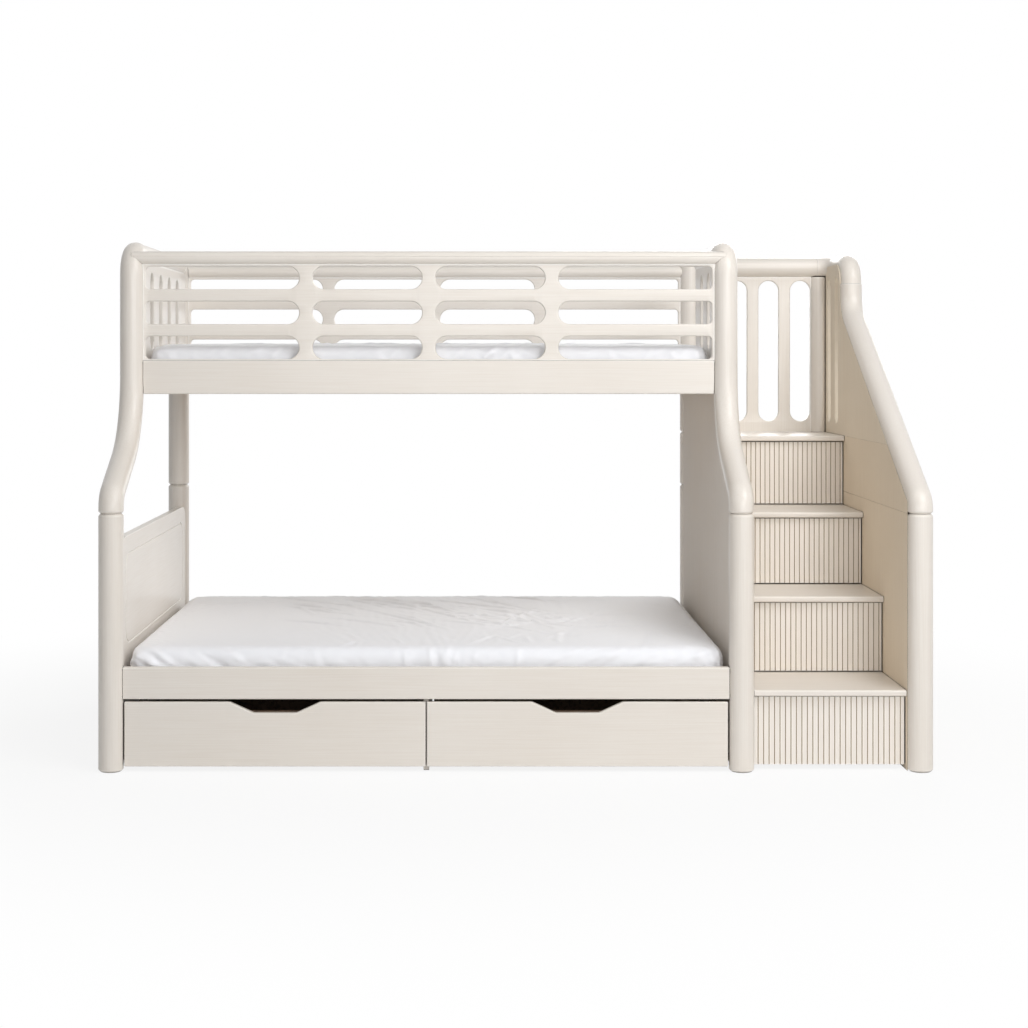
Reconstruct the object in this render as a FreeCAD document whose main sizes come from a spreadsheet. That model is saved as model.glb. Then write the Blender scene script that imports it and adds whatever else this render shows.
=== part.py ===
import FreeCAD, Part
import math
import os

# Bunk bed with a storage stair: a wide lower bed, a narrower upper bed set back from the front,
# and a flight of drawers at the right end that climbs from the front to a landing at the back.
# X runs along the bed, the front faces -Y, Z is up, the floor is Z = 0, sizes are millimetres.

SIZES = [
    ("post_dia", 80.0),
    ("post_bevel", 7.0),
    ("post_collar", 10.0),
    ("rail_dia", 76.0),
    ("rail_rise", 18.0),
    ("elbow_radius", 75.0),
    ("elbow_stub", 4.0),
    ("seat_gap", 0.2),
    ("cut_over", 20.0),
    ("bed_clear", 1930.0),
    ("stair_pitch", 570.0),
    ("depth_pitch", 1398.0),
    ("upper_setback", 372.0),
    ("leg_height", 821.0),
    ("knee_rise", 52.0),
    ("knee_radius", 60.0),
    ("sweep_drop", 126.0),
    ("sweep_radius", 316.0),
    ("handrail_knee_rise", 37.0),
    ("handrail_top_drop", 183.0),
    ("landing_rail_run", 308.0),
    ("handrail_radius", 130.0),
    ("handrail_stub", 2.0),
    ("dowel_dia", 20.0),
    ("dowel_length", 110.0),
    ("board_thick", 25.0),
    ("board_ease", 5.0),
    ("end_board_inset", 30.0),
    ("upper_rail_rise", 374.0),
    ("upper_rail_height", 114.0),
    ("guard_thick", 22.0),
    ("guard_opening", 77.0),
    ("guard_bar", 41.0),
    ("guard_web", 4.5),
    ("guard_top_web", 5.5),
    ("guard_ease", 3.5),
    ("guard_stile", 45.0),
    ("guard_inner_gap", 371.0),
    ("guard_post_web", 8.0),
    ("guard_flare", 14.0),
    ("top_rail_dia", 46.0),
    ("end_slot_width", 80.0),
    ("end_slot_pitch", 188.0),
    ("end_slot_web", 40.0),
    ("entry_width", 360.0),
    ("rail_end_bevel", 14.0),
    ("lower_rail_bottom", 230.0),
    ("lower_rail_height", 102.0),
    ("ledger_size", 25.0),
    ("slat_thick", 18.0),
    ("slat_width", 70.0),
    ("slat_end_gap", 20.0),
    ("beam_width", 40.0),
    ("beam_height", 60.0),
    ("mattress_end_gap", 22.5),
    ("mattress_thick", 125.0),
    ("lower_mattress_gap", 11.5),
    ("upper_mattress_gap", 8.0),
    ("mattress_corner", 70.0),
    ("mattress_edge", 9.0),
    ("mattress_crown", 70.0),
    ("mattress_waist", 5.0),
    ("mattress_lift", 0.3),
    ("headboard_drop", 81.0),
    ("headboard_corner", 60.0),
    ("headboard_margin", 55.0),
    ("groove_width", 6.0),
    ("groove_depth", 3.0),
    ("panel_lift", 12.0),
    ("side_panel_inset", 42.0),
    ("landing_rise", 207.0),
    ("landing_depth", 399.0),
    ("tread_thick", 20.0),
    ("tread_overhang", 22.0),
    ("tread_lap", 40.0),
    ("tread_nose", 6.0),
    ("back_panel_thick", 9.0),
    ("landing_slot_width", 79.0),
    ("landing_slot_pitch", 124.0),
    ("landing_slot_foot", 42.0),
    ("landing_slot_head", 14.0),
    ("landing_slot_margin", 2.0),
    ("side_slot_width", 70.0),
    ("side_slot_pitch", 146.0),
    ("side_slot_margin", 55.0),
    ("corner_post_dia", 64.0),
    ("corner_post_inset", 66.0),
    ("drawer_gap", 4.0),
    ("drawer_lift", 16.0),
    ("drawer_front_thick", 20.0),
    ("drawer_wall", 12.0),
    ("drawer_base", 6.0),
    ("drawer_base_rise", 8.0),
    ("bed_drawer_top_gap", 8.0),
    ("bed_drawer_back_gap", 111.5),
    ("bed_drawer_box_drop", 32.0),
    ("bed_drawer_box_rise", 24.0),
    ("stair_drawer_back_gap", 20.5),
    ("stair_drawer_box_drop", 25.0),
    ("stair_drawer_box_rise", 22.0),
    ("pull_width", 290.0),
    ("pull_flat", 137.0),
    ("pull_depth", 35.0),
    ("pull_round", 22.0),
    ("reed_pitch", 17.5),
    ("reed_width", 3.2),
    ("reed_depth", 3.0),
    ("partition_thick", 18.0),
    ("runner_height", 14.0),
    ("runner_reach", 24.0),
    ("runner_play", 0.3),
]

LOWER_SLATS = 13
UPPER_SLATS = 13
LEFT_GUARD_SLOTS = 4
RIGHT_GUARD_SLOTS = 2
LANDING_SLOTS = 3
SIDE_SLOTS = 2
GUARD_ROWS = 3
STAIR_DRAWERS = 4

doc = FreeCAD.newDocument("bunk_bed_with_stairs")
sheet = doc.addObject("Spreadsheet::Sheet", "Sizes")
for row, (alias, number) in enumerate(SIZES, start=1):
    sheet.set(f"A{row}", alias)
    sheet.set(f"B{row}", str(number))
    sheet.setAlias(f"B{row}", alias)
doc.recompute()


class Size:
    """A length that carries its number and the formula that ties it to the sheet."""

    def __init__(self, number, formula):
        self.number = float(number)
        self.formula = formula

    def __float__(self):
        return self.number

    def __add__(self, other):
        return Size(self.number + float(other), f"({self.formula} + {formula_of(other)})")

    def __sub__(self, other):
        return Size(self.number - float(other), f"({self.formula} - {formula_of(other)})")

    def __mul__(self, factor):
        return Size(self.number * factor, f"({self.formula} * {factor!r})")

    def __truediv__(self, factor):
        return Size(self.number / factor, f"({self.formula} / {factor!r})")

    def __neg__(self):
        return Size(-self.number, f"(-1 * {self.formula})")


def formula_of(length):
    return length.formula if isinstance(length, Size) else repr(float(length))


def size(alias):
    return Size(sheet.get(alias), f"Sizes.{alias}")


ZERO = Size(0, "0")
SAME_PLACE = 1e-6
pieces = {}

UPRIGHT = FreeCAD.Rotation()
FRONT_FACING = FreeCAD.Rotation(FreeCAD.Vector(1, 0, 0), 90)
END_FACING = FreeCAD.Rotation(FreeCAD.Vector(1, 1, 1), 120)
ALONG_X = FreeCAD.Rotation(FreeCAD.Vector(0, 1, 0), 90)
ALONG_Y = FreeCAD.Rotation(FreeCAD.Vector(1, 0, 0), -90)
CORNER_TURN = FreeCAD.Rotation(
    FreeCAD.Vector(0, 0, -1), FreeCAD.Vector(-1, 0, 0), FreeCAD.Vector(0, 1, 0))


def put(item, rotation, x, y, z):
    """Turn an item, then bind its place to the sheet."""
    item.Placement = FreeCAD.Placement(FreeCAD.Vector(float(x), float(y), float(z)), rotation)
    for axis, length in (("x", x), ("y", y), ("z", z)):
        item.setExpression(f"Placement.Base.{axis}", formula_of(length))
    return item


def keep(name, item):
    """Name an item as a finished piece of the bed."""
    item.Label = name
    pieces[name] = item
    return item


def block(x, y, z):
    """A square-edged board between (low, high) limits on each axis."""
    item = doc.addObject("Part::Box", "block")
    for side, (low, high) in (("Length", x), ("Width", y), ("Height", z)):
        item.setExpression(side, (high - low).formula)
    return put(item, UPRIGHT, x[0], y[0], z[0])


def rod(diameter, length, x, y, z, rotation=UPRIGHT):
    item = doc.addObject("Part::Cylinder", "rod")
    item.setExpression("Radius", (diameter / 2).formula)
    item.setExpression("Height", length.formula)
    return put(item, rotation, x, y, z)


def group(items):
    item = doc.addObject("Part::Compound", "group")
    item.Links = items
    return item


def trim(item, tools):
    """Cut one or more tools away from an item."""
    cut = doc.addObject("Part::Cut", "trimmed")
    cut.Base = item
    cut.Tool = tools[0] if len(tools) == 1 else fuse(tools)
    return cut


def fuse(items):
    joined = doc.addObject("Part::MultiFuse", "joined")
    joined.Shapes = items
    return joined


def ease_edges(kind, item, reach, chosen):
    """Ease the edges of an item that the chosen test picks."""
    doc.recompute()
    picks = [n for n, edge in enumerate(item.Shape.Edges, start=1) if chosen(edge)]
    eased = doc.addObject(kind, "eased")
    eased.Base = item
    eased.Edges = [(n, float(reach), float(reach)) for n in picks]
    return eased


def round_edges(item, radius, chosen):
    return ease_edges("Part::Fillet", item, radius, chosen)


def bevel_edges(item, width, chosen):
    return ease_edges("Part::Chamfer", item, width, chosen)


def runs_along(axis):
    """A test for straight edges along X (0), Y (1) or Z (2)."""
    def test(edge):
        if not isinstance(edge.Curve, Part.Line):
            return False
        direction = edge.tangentAt(edge.FirstParameter)
        return abs(abs(direction[axis]) - 1) < SAME_PLACE
    return test


def is_round(edge):
    return isinstance(edge.Curve, Part.Circle)


def arc_reaches(points, corners, closed):
    """How far each corner's arc reaches along its runs, limited by the length of those runs."""
    count = len(points)
    reaches = []
    for n, corner in enumerate(corners):
        radius = float(corner[2])
        if radius == 0 or (not closed and n in (0, count - 1)):
            reaches.append(0.0)
            continue
        back = points[n - 1] - points[n]
        ahead = points[(n + 1) % count] - points[n]
        reaches.append(radius / math.tan(back.getAngle(ahead) / 2))
    for n in range(count if closed else count - 1):
        beside = (n + 1) % count
        run = points[n].distanceToPoint(points[beside])
        spare = (reaches[n] + reaches[beside]) / run
        if spare > 1 + SAME_PLACE:
            reaches[n] /= spare
            reaches[beside] /= spare
    return reaches


def trace(corners, closed):
    """Straight runs joined by tangent arcs through (across, up, radius) corners."""
    count = len(corners)
    points = [FreeCAD.Vector(float(a), float(b), 0) for a, b, _ in corners]
    joins = []
    for n, reach in enumerate(arc_reaches(points, corners, closed)):
        here = points[n]
        if reach == 0:
            joins.append((here, None, here))
            continue
        back = (points[n - 1] - here).normalize()
        ahead = (points[(n + 1) % count] - here).normalize()
        half_angle = back.getAngle(ahead) / 2
        radius = reach * math.tan(half_angle)
        middle = (back + ahead).normalize() * (radius / math.sin(half_angle) - radius)
        joins.append((here + back * reach, here + middle, here + ahead * reach))
    curves = []
    for n in range(count if closed else count - 1):
        start = joins[n][2]
        end = joins[(n + 1) % count][0]
        if start.distanceToPoint(end) > SAME_PLACE:
            curves.append(Part.LineSegment(start, end))
        first, middle, last = joins[(n + 1) % count]
        if middle is not None:
            curves.append(Part.Arc(first, middle, last))
    return curves


def sketch_on(body, role):
    sketch = body.newObject("Sketcher::SketchObject", "sketch")
    plane = next(item for item in body.Origin.OriginFeatures if item.Role == role)
    sketch.AttachmentSupport = [(plane, "")]
    sketch.MapMode = "FlatFace"
    return sketch


def plate(outlines, thickness, rotation, x, y, z):
    """A flat board: the first outline is its edge, the others are openings."""
    body = doc.addObject("PartDesign::Body", "plate")
    sketch = sketch_on(body, "XY_Plane")
    for outline in outlines:
        for curve in trace(outline, closed=True):
            sketch.addGeometry(curve, False)
    pad = body.newObject("PartDesign::Pad", "pad")
    pad.Profile = sketch
    pad.setExpression("Length", thickness.formula)
    return put(body, rotation, x, y, z)


def end_plate(outlines, thickness, x):
    """A board across the bed: outlines are (Y, Z), its thickness runs along X."""
    return plate(outlines, thickness, END_FACING, x, ZERO, ZERO)


def front_plate(outlines, thickness, y):
    """A board along the bed: outlines are (X, Z), its thickness runs towards the front from y."""
    return plate(outlines, thickness, FRONT_FACING, ZERO, y, ZERO)


def tube(route, diameter, rotation, x, y, z):
    """A round rail swept along an open route of (Y, Z, radius) corners that starts upwards."""
    body = doc.addObject("PartDesign::Body", "tube")
    spine = sketch_on(body, "YZ_Plane")
    for curve in trace(route, closed=False):
        spine.addGeometry(curve, False)
    ring = sketch_on(body, "XY_Plane")
    ring.setExpression("AttachmentOffset.Base.z", formula_of(route[0][1]))
    ring.setExpression("AttachmentOffset.Base.y", formula_of(route[0][0]))
    circle = Part.Circle(FreeCAD.Vector(), FreeCAD.Vector(0, 0, 1), float(diameter / 2))
    ring.addGeometry(circle, False)
    pipe = body.newObject("PartDesign::AdditivePipe", "pipe")
    pipe.Profile = ring
    pipe.Spine = (spine, [""])
    return put(body, rotation, x, y, z)


def alike(radius):
    """The same radius for all four corners of an oblong."""
    return (radius, radius, radius, radius)


def oblong(low_a, high_a, low_b, high_b, radii=alike(ZERO)):
    """A rectangle, with corner radii from the low corner round."""
    return [(low_a, low_b, radii[0]), (high_a, low_b, radii[1]),
            (high_a, high_b, radii[2]), (low_a, high_b, radii[3])]


def stadium(across, up, width, height):
    """An upright slot with round ends, centred at (across, up)."""
    return oblong(across - width / 2, across + width / 2, up - height / 2, up + height / 2, alike(width / 2))


# Places that the whole frame shares.
post_dia = size("post_dia")
half_post = post_dia / 2
seat_gap = size("seat_gap")
cope_dia = post_dia + seat_gap * 2
rail_dia = size("rail_dia")
rail_cope_dia = rail_dia + seat_gap * 2
elbow_radius = size("elbow_radius")
elbow_stub = size("elbow_stub")
cut_over = size("cut_over")
leg_height = size("leg_height")
board_thick = size("board_thick")
end_inset = size("end_board_inset")

left_x = -(size("bed_clear") + post_dia + size("stair_pitch")) / 2
right_x = left_x + size("bed_clear") + post_dia
stair_x = right_x + size("stair_pitch")
middle_x = (left_x + right_x) / 2
front_y = -size("depth_pitch") / 2
back_y = size("depth_pitch") / 2
upper_y = front_y + size("upper_setback")
left_plate_x = left_x + end_inset - board_thick
right_plate_x = right_x - end_inset
right_plate_face = right_plate_x + board_thick

knee_height = leg_height + size("knee_rise")
upper_rail_bottom = leg_height + size("upper_rail_rise")
upper_rail_top = upper_rail_bottom + size("upper_rail_height")
sweep_height = upper_rail_bottom - size("sweep_drop")
lower_rail_bottom = size("lower_rail_bottom")
lower_rail_top = lower_rail_bottom + size("lower_rail_height")

# The rows of openings in the guards set the heights of the rails above them.
guard_opening = size("guard_opening")
guard_bar = size("guard_bar")
top_rail_dia = size("top_rail_dia")
guard_rows_top = upper_rail_top + size("guard_web") + (guard_opening + guard_bar) * GUARD_ROWS - guard_bar
top_rail_height = guard_rows_top + size("guard_top_web") + top_rail_dia / 2
rail_height = top_rail_height + size("rail_rise")
post_top = rail_height + half_post

# Round legs and posts. Each post stands on its leg over a hidden dowel.
dowel_dia = size("dowel_dia")
dowel_length = size("dowel_length")
socket_dia = dowel_dia + seat_gap * 2
dowels = []


def socket(x, y, z):
    """The hole for one dowel, centred on a joint between leg and post."""
    return rod(socket_dia, dowel_length, x, y, z - dowel_length / 2)


def join(x, y, z):
    dowels.append(rod(dowel_dia, dowel_length, x, y, z - dowel_length / 2))


def turned_post(x, y, low, high, joints):
    """An upright length of post with bevelled rims and a socket at each joint."""
    blank = bevel_edges(rod(post_dia, high - low, x, y, low), size("post_bevel"), is_round)
    return trim(blank, [socket(x, y, z) for z in joints])


def leg(name, x, y):
    keep(name, turned_post(x, y, ZERO, leg_height, [leg_height]))
    join(x, y, leg_height)


leg("front_left_leg", left_x, front_y)
leg("front_right_leg", right_x, front_y)
leg("back_left_leg", left_x, back_y)
leg("back_right_leg", right_x, back_y)
leg("stair_leg", stair_x, front_y)

collar_top = leg_height + size("post_collar")
post_route = [
    (front_y, leg_height, ZERO),
    (front_y, collar_top, ZERO),
    (front_y, knee_height, size("knee_radius")),
    (upper_y, sweep_height, size("sweep_radius")),
    (upper_y, rail_height, elbow_radius),
    (upper_y + elbow_radius + elbow_stub, rail_height, ZERO),
]
back_route = [
    (back_y, leg_height, ZERO),
    (back_y, rail_height, elbow_radius),
    (back_y - elbow_radius - elbow_stub, rail_height, ZERO),
]


def at_leg_joint(item_y):
    """A test for the ring where a post meets its leg."""
    def test(edge):
        if not is_round(edge):
            return False
        joint = FreeCAD.Vector(edge.Curve.Center.x, float(item_y), float(leg_height))
        return edge.Curve.Center.distanceToPoint(joint) < SAME_PLACE
    return test


def swept_post(route, x, y):
    """A post that bends along its route, with a bevelled rim and a socket where it meets its leg."""
    swept = tube(route, post_dia, UPRIGHT, x, ZERO, ZERO)
    eased = bevel_edges(swept, size("post_bevel"), at_leg_joint(y))
    return trim(eased, [socket(x, y, leg_height)])


keep("front_left_post", swept_post(post_route, left_x, front_y))
keep("front_right_post", swept_post(post_route, right_x, front_y))
keep("back_left_post", swept_post(back_route, left_x, back_y))

# The back right post is in two lengths that meet level with the landing of the stair.
landing_top = leg_height + size("landing_rise")
tread_rise = landing_top / STAIR_DRAWERS
keep("back_right_post", group([
    turned_post(right_x, back_y, leg_height, landing_top, [leg_height, landing_top]),
    turned_post(right_x, back_y, landing_top, post_top, [landing_top])]))
join(right_x, back_y, landing_top)
keep("post_dowels", group(dowels))


def post_cope(x, y, low, high):
    """The round hollow that a board needs to close up against an upright post."""
    return rod(cope_dia, high - low + cut_over * 2, x, y, low - cut_over)


def swept_cope(x):
    """The same hollow against a front leg and the swept post above it."""
    return tube([(front_y, -cut_over, ZERO)] + post_route[2:], cope_dia, UPRIGHT, x, ZERO, ZERO)


# Rails along the ends, level with the elbows of the posts.
end_rail_start = upper_y + elbow_radius + elbow_stub
end_rail_stop = back_y - elbow_radius - elbow_stub
keep("left_end_rail", rod(rail_dia, end_rail_stop - end_rail_start, left_x, end_rail_start,
                          rail_height, ALONG_Y))
entry_y = back_y - half_post - size("entry_width")
right_rail = rod(rail_dia, entry_y - end_rail_start, right_x, end_rail_start, rail_height, ALONG_Y)


def at_entry(edge):
    return is_round(edge) and abs(edge.Curve.Center.y - float(entry_y)) < SAME_PLACE


keep("right_end_rail", bevel_edges(right_rail, size("rail_end_bevel"), at_entry))

# Long boards and rails of the two beds, hollowed at their ends to close against the posts.
bed_span = (left_x, right_x)


def long_board(name, y, low, high, copes):
    limits = (y - board_thick / 2, y + board_thick / 2)
    eased = round_edges(block(bed_span, limits, (low, high)), size("board_ease"), runs_along(0))
    keep(name, trim(eased, copes))


def straight_copes(y, low, high):
    return [post_cope(left_x, y, low, high), post_cope(right_x, y, low, high)]


long_board("lower_front_rail", front_y, lower_rail_bottom, lower_rail_top,
           straight_copes(front_y, lower_rail_bottom, lower_rail_top))
long_board("lower_back_rail", back_y, lower_rail_bottom, lower_rail_top,
           straight_copes(back_y, lower_rail_bottom, lower_rail_top))
long_board("upper_front_rail", upper_y, upper_rail_bottom, upper_rail_top,
           [swept_cope(left_x), swept_cope(right_x)])
long_board("upper_back_rail", back_y, upper_rail_bottom, upper_rail_top,
           straight_copes(back_y, upper_rail_bottom, upper_rail_top))

top_cope_dia = top_rail_dia + seat_gap * 2
bed_length = right_x - left_x
front_rail = rod(top_rail_dia, bed_length, left_x, upper_y, top_rail_height, ALONG_X)
keep("front_top_rail", trim(front_rail, [swept_cope(left_x), swept_cope(right_x)]))
back_rail = rod(top_rail_dia, bed_length, left_x, back_y, top_rail_height, ALONG_X)


def back_copes():
    return [tube(back_route, cope_dia, UPRIGHT, left_x, ZERO, ZERO),
            post_cope(right_x, back_y, upper_rail_top, post_top)]


keep("back_top_rail", trim(back_rail, back_copes()))

# Pierced guard boards: three rows of four openings with round ends, between rail and top rail.
guard_thick = size("guard_thick")
guard_stile = size("guard_stile")
inner_gap = size("guard_inner_gap")
flare = size("guard_flare")
round_end = guard_opening / 2


def eased_openings(board):
    """The same flat board, with a bevel round the rims of its openings."""
    doc.recompute()
    holes = [edge for face in board.Shape.Faces for wire in face.Wires
             if not wire.isSame(face.OuterWire) for edge in wire.Edges]

    def at_opening(edge):
        return any(edge.isSame(rim) for rim in holes)

    return bevel_edges(board, size("guard_ease"), at_opening)


def guard_outlines():
    outlines = [oblong(left_x, right_x, upper_rail_top, top_rail_height)]
    middle_stile = guard_stile / 2
    outer_start = middle_stile + inner_gap + guard_stile
    outer_stop = size("bed_clear") / 2 - size("guard_post_web")
    inner_stop = middle_stile + inner_gap
    for row in range(GUARD_ROWS):
        low = upper_rail_top + size("guard_web") + (guard_opening + guard_bar) * row
        high = low + guard_opening
        outlines.append(oblong(middle_x + middle_stile, middle_x + inner_stop, low, high, alike(round_end)))
        outlines.append(oblong(middle_x - inner_stop, middle_x - middle_stile, low, high, alike(round_end)))
        outlines.append(oblong(middle_x + outer_start, middle_x + outer_stop, low, high,
                               (round_end, flare, flare, round_end)))
        outlines.append(oblong(middle_x - outer_stop, middle_x - outer_start, low, high,
                               (flare, round_end, round_end, flare)))
    return outlines


def long_guard(name, y, copes):
    board = eased_openings(front_plate(guard_outlines(), guard_thick, y + guard_thick / 2))
    rail_cope = rod(top_cope_dia, bed_length, left_x, y, top_rail_height, ALONG_X)
    keep(name, trim(board, copes + [rail_cope]))


long_guard("front_guard", upper_y, [swept_cope(left_x), swept_cope(right_x)])
long_guard("back_guard", back_y, back_copes())

# End boards of the upper bed, and the slotted guards that stand on them.
end_span = (upper_y, back_y)


def end_board(plate_x):
    limits = (plate_x, plate_x + board_thick)
    blank = block(limits, end_span, (upper_rail_bottom, upper_rail_top))
    return round_edges(blank, size("board_ease"), runs_along(1))


def end_copes(x):
    return [swept_cope(x), post_cope(x, back_y, upper_rail_bottom, post_top)]


keep("upper_left_rail", trim(end_board(left_plate_x), end_copes(left_x)))
keep("upper_right_rail", trim(end_board(right_plate_x), end_copes(right_x)))

slot_width = size("end_slot_width")
slot_pitch = size("end_slot_pitch")
slot_web = size("end_slot_web")
slot_low = upper_rail_top + slot_web
slot_high = rail_height - rail_dia / 2 - slot_web / 2
left_first_slot = (upper_y + back_y) / 2 - slot_pitch * ((LEFT_GUARD_SLOTS - 1) / 2)


def end_guard_outlines(stop_y, slots):
    edge = oblong(upper_y, stop_y, upper_rail_top, rail_height)
    centre_z = (slot_low + slot_high) / 2
    holes = [stadium(left_first_slot + slot_pitch * n, centre_z, slot_width, slot_high - slot_low)
             for n in range(slots)]
    return [edge] + holes


def end_rail_cope(x):
    return rod(rail_cope_dia, back_y - upper_y, x, upper_y, rail_height, ALONG_Y)


left_guard = end_plate(end_guard_outlines(back_y, LEFT_GUARD_SLOTS), board_thick, left_plate_x)
back_left_tube = tube(back_route, cope_dia, UPRIGHT, left_x, ZERO, ZERO)
keep("left_guard", trim(eased_openings(left_guard), [swept_cope(left_x), back_left_tube, end_rail_cope(left_x)]))
right_guard_edges = end_guard_outlines(entry_y - size("rail_end_bevel") * 2, RIGHT_GUARD_SLOTS)
right_guard = end_plate(right_guard_edges, board_thick, right_plate_x)
keep("right_guard", trim(eased_openings(right_guard), [swept_cope(right_x), end_rail_cope(right_x)]))

# Slats on ledgers inside the long rails, and a middle beam on feet under the wide bed.
ledger = size("ledger_size")
slat_thick = size("slat_thick")
slat_width = size("slat_width")
slat_end_gap = size("slat_end_gap")
bed_inner_left = left_plate_x + board_thick
bed_inner_right = right_plate_x
inner_length = bed_inner_right - bed_inner_left
ledger_span = (bed_inner_left + slat_end_gap, bed_inner_right - slat_end_gap)
lower_ledger_z = (lower_rail_bottom + seat_gap, lower_rail_bottom + seat_gap + ledger)
upper_ledger_low = upper_rail_bottom + size("board_ease")
upper_ledger_z = (upper_ledger_low, upper_ledger_low + ledger)


def ledger_pair(y_front, limits):
    front = y_front + board_thick / 2
    back = back_y - board_thick / 2
    return [block(ledger_span, (front, front + ledger), limits),
            block(ledger_span, (back - ledger, back), limits)]


keep("slat_ledgers", group(ledger_pair(front_y, lower_ledger_z) + ledger_pair(upper_y, upper_ledger_z)))


def slat_row(name, count, y_front, bottom):
    pitch = (inner_length - slat_end_gap * 2 - slat_width) / (count - 1)
    y = (y_front + board_thick / 2 + seat_gap, back_y - board_thick / 2 - seat_gap)
    slats = []
    for n in range(count):
        start = bed_inner_left + slat_end_gap + pitch * n
        slats.append(block((start, start + slat_width), y, (bottom, bottom + slat_thick)))
    keep(name, group(slats))


slat_row("lower_slats", LOWER_SLATS, front_y, lower_ledger_z[1])
slat_row("upper_slats", UPPER_SLATS, upper_y, upper_ledger_z[1])

beam_width = size("beam_width")
beam_y = (-beam_width / 2, beam_width / 2)
beam_z = (lower_ledger_z[1] - size("beam_height"), lower_ledger_z[1])
beam_feet = []
for middle in (middle_x - inner_length / 4, middle_x + inner_length / 4):
    foot_x = (middle - beam_width / 2, middle + beam_width / 2)
    beam_feet.append(block(foot_x, beam_y, (ZERO, beam_z[0])))
keep("centre_beam", group([block((bed_inner_left, bed_inner_right), beam_y, beam_z)] + beam_feet))


# Mattresses: full edges, sides drawn in at the waist and a low crown on top.
def mattress_level(length, width, inset):
    radius = size("mattress_corner") - inset / 2
    half_length = length / 2 - inset
    half_width = width / 2 - inset
    return oblong(-half_length, half_length, -half_width, half_width, alike(radius))


def mattress(name, y_front, side_gap, bottom):
    length = inner_length - size("mattress_end_gap") * 2
    width = back_y - y_front - board_thick - side_gap * 2
    body = doc.addObject("PartDesign::Body", "mattress")
    edge = size("mattress_edge")
    waist = size("mattress_waist")
    thick = size("mattress_thick")
    levels = [(ZERO, edge), (edge, ZERO), (thick / 2, waist), (thick - edge * 2, ZERO),
              (thick - edge, edge), (thick, size("mattress_crown"))]
    sketches = []
    for height, inset in levels:
        sketch = sketch_on(body, "XY_Plane")
        sketch.setExpression("AttachmentOffset.Base.z", height.formula)
        for curve in trace(mattress_level(length, width, inset), closed=True):
            sketch.addGeometry(curve, False)
        sketches.append(sketch)
    loft = body.newObject("PartDesign::AdditiveLoft", "loft")
    loft.Profile = sketches[0]
    loft.Sections = sketches[1:]
    loft.Ruled = True
    middle_y = (y_front + back_y) / 2
    keep(name, put(body, UPRIGHT, middle_x, middle_y, bottom + size("mattress_lift")))


mattress("lower_mattress", front_y, size("lower_mattress_gap"), lower_ledger_z[1] + slat_thick)
mattress("upper_mattress", upper_y, size("upper_mattress_gap"), upper_ledger_z[1] + slat_thick)

# Headboard of the lower bed, with a routed frame line on its inner face.
panel_lift = size("panel_lift")
head_corner = size("headboard_corner")
head_shoulder = head_corner + half_post
headboard_top = leg_height - size("headboard_drop")
head_edge = oblong(front_y, back_y, panel_lift, headboard_top,
                   (ZERO, ZERO, head_shoulder, head_shoulder))
headboard = end_plate([head_edge], board_thick, left_plate_x)
groove_width = size("groove_width")
groove_depth = size("groove_depth")


def groove_line(inset, corner):
    """One edge of the routed frame line, inset from the margin."""
    margin = size("headboard_margin") + inset
    return oblong(front_y + half_post + margin, back_y - half_post - margin,
                  lower_rail_top + margin, headboard_top - margin, alike(corner))


groove_edges = [groove_line(ZERO, head_corner), groove_line(groove_width, head_corner - groove_width)]
groove = end_plate(groove_edges, groove_depth + cut_over, left_plate_x + board_thick - groove_depth)
keep("headboard", trim(headboard, [
    post_cope(left_x, front_y, ZERO, leg_height), post_cope(left_x, back_y, ZERO, leg_height), groove]))

# Stair: side panels, treads, back panel.
tread_thick = size("tread_thick")
tread_going = (size("depth_pitch") - size("landing_depth")) / (STAIR_DRAWERS - 1)
side_inner = stair_x - size("side_panel_inset")
side_outer = side_inner + board_thick
stair_back = back_y + board_thick / 2
left_panel_edge = [
    (front_y, panel_lift, ZERO),
    (back_y, panel_lift, ZERO),
    (back_y, upper_rail_bottom, ZERO),
    (upper_y, upper_rail_bottom, ZERO),
    (upper_y, sweep_height, size("sweep_radius") / 2),
    (front_y, knee_height, size("knee_radius") / 2),
]
left_panel = end_plate([left_panel_edge], board_thick, right_plate_x)
keep("stair_left_panel", trim(left_panel, [
    swept_cope(right_x), post_cope(right_x, back_y, ZERO, post_top)]))

# The handrail comes in three lengths: the swept climb, the landing's side rail and a corner elbow.
handrail_y = back_y - size("landing_rail_run")
handrail_knee = leg_height + size("handrail_knee_rise")
handrail_top = rail_height - size("handrail_top_drop")
handrail_joint = rail_height - elbow_radius - size("handrail_stub")
handrail_route = [
    (front_y, leg_height, ZERO),
    (front_y, collar_top, ZERO),
    (front_y, handrail_knee, size("knee_radius")),
    (handrail_y, handrail_top, size("handrail_radius")),
    (handrail_y, handrail_joint, ZERO),
]
side_rail_route = [
    (handrail_y, handrail_joint, ZERO),
    (handrail_y, rail_height, elbow_radius),
    (back_y - elbow_radius, rail_height, ZERO),
]
corner_route = [(ZERO, ZERO, ZERO), (ZERO, elbow_radius, elbow_radius - elbow_stub),
                (elbow_radius, elbow_radius, ZERO)]


def corner_tube(diameter):
    return tube(corner_route, diameter, CORNER_TURN, stair_x, back_y - elbow_radius, rail_height)


keep("stair_handrail", group([
    swept_post(handrail_route, stair_x, front_y),
    tube(side_rail_route, rail_dia, UPRIGHT, stair_x, ZERO, ZERO),
    corner_tube(rail_dia)]))
landing_rail = rod(rail_dia, stair_x - elbow_radius - right_x, right_x, back_y, rail_height, ALONG_X)
keep("landing_back_rail", trim(landing_rail, [post_cope(right_x, back_y, leg_height, post_top)]))

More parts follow.
